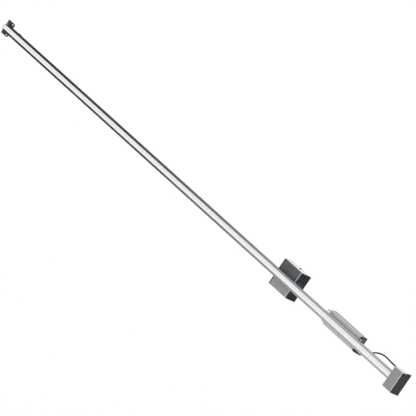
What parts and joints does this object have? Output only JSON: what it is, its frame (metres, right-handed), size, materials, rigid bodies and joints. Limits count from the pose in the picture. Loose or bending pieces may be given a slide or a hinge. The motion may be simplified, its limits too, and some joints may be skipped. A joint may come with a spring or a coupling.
{
  "type": "linear actuator",
  "caption": "Long rodless belt-driven linear actuator: round barrel, sliding carriage on its back, drive head at one end, foot bracket at the other, and a clamped drive controller.",
  "frame": {"origin": "midway between the foot bracket's two bolt holes, on the mounting plane under the foot", "axes": "+X along the barrel from the foot to the drive head, +Z from the mounting plane towards the barrel's front, +Y towards the side with the carriage's button"},
  "size_m": [3.168, 0.133, 0.122],
  "materials": {
    "barrel_aluminium": "polished anodised",
    "light_plastic": "satin",
    "black_steel": "satin black",
    "black_plastic": "matte",
    "slate_paint": "satin",
    "grey_paint": "satin",
    "silver_aluminium": "satin anodised",
    "plain_aluminium": "machined",
    "steel": "machined",
    "rubber": "matte",
    "white_plastic": "gloss",
    "pom": "satin",
    "board_green": "satin"
  },
  "bodies": {
    "beam": {"barrel": "barrel_aluminium", "far_end_cap": "light_plastic", "foot_bracket": "black_steel", "foot_screw": "steel", "idler_yoke": "plain_aluminium", "idler_axle": "steel", "tension_screw": "steel", "toothed_belt": "rubber", "end_stops": "plain_aluminium", "end_stop_bumpers": "rubber", "slot_nuts": "steel", "slot_screws": "steel", "m3_long_screws": "steel", "head_housing": "grey_paint", "head_edge_strip": "light_plastic", "head_cover": "black_plastic", "shaft_bearings": "steel", "motor_stator": "steel", "encoder_board": "board_green", "head_cable_gland": "black_plastic", "controller_housing": "silver_aluminium", "controller_saddles": "plain_aluminium", "controller_rails": "silver_aluminium", "rail_screws": "steel", "controller_far_panel": "silver_aluminium", "controller_near_panel": "black_plastic", "panel_screws": "steel", "controller_board": "board_green", "board_components": "black_plastic", "signal_port": "black_plastic", "status_window": "white_plastic", "controller_cable_gland": "black_plastic", "motor_cable": "rubber"},
    "carriage": {"carriage_spine": "plain_aluminium", "guide_shoes": "pom", "roller_axles": "steel", "belt_clamp_base": "plain_aluminium", "belt_clamp_plate": "plain_aluminium", "belt_clamp_screws": "steel", "carriage_chassis": "plain_aluminium", "front_plate_lit_side": "slate_paint", "front_plate_shade_side": "grey_paint", "spine_screws": "steel", "load_plate": "plain_aluminium", "carriage_edge_strip": "light_plastic", "carriage_near_cap": "black_plastic", "carriage_far_cap": "black_plastic", "carriage_plugs": "grey_paint", "carriage_screws": "steel", "button_guide": "light_plastic", "button_spring": "steel", "button_switch": "black_plastic"},
    "far_roller_pair": {"far_rollers": "pom"},
    "near_roller_pair": {"near_rollers": "pom"},
    "drive_train": {"drive_shaft": "steel", "drive_pulley": "plain_aluminium", "motor_rotor": "steel", "encoder_disc": "plain_aluminium"},
    "idler": {"idler_pulley": "plain_aluminium"},
    "button": {"release_button": "black_plastic"}
  },
  "joints": [
    {"name": "carriage_slide", "type": "slide", "parent": "beam", "child": "carriage", "axis": [1, 0, 0], "range_m": [-2.11, 0.21]},
    {"name": "drive_spin", "type": "hinge", "parent": "beam", "child": "drive_train", "pos_m": [3.099, 0, 0.026], "axis": [0, -1, 0], "continuous": true},
    {"name": "idler_spin", "type": "hinge", "parent": "beam", "child": "idler", "pos_m": [0.016, 0, 0.026], "axis": [0, -1, 0], "continuous": true},
    {"name": "far_roller_spin", "type": "hinge", "parent": "carriage", "child": "far_roller_pair", "pos_m": [2.207, 0, 0.01253], "axis": [0, 1, 0], "continuous": true},
    {"name": "near_roller_spin", "type": "hinge", "parent": "carriage", "child": "near_roller_pair", "pos_m": [2.297, 0, 0.01253], "axis": [0, 1, 0], "continuous": true},
    {"name": "button_press", "type": "slide", "parent": "carriage", "child": "button", "axis": [0, -1, 0], "range_m": [0, 0.003], "stiffness_N_per_m": 300, "springref_m": -0.002, "deforming": ["button_spring"]}
  ],
  "couplings": [
    {"joint": "drive_spin", "follows": "carriage_slide", "rad_per_m": 123.15},
    {"joint": "idler_spin", "follows": "carriage_slide", "rad_per_m": 123.15},
    {"joint": "far_roller_spin", "follows": "carriage_slide", "rad_per_m": 200},
    {"joint": "near_roller_spin", "follows": "carriage_slide", "rad_per_m": 200}
  ]
}
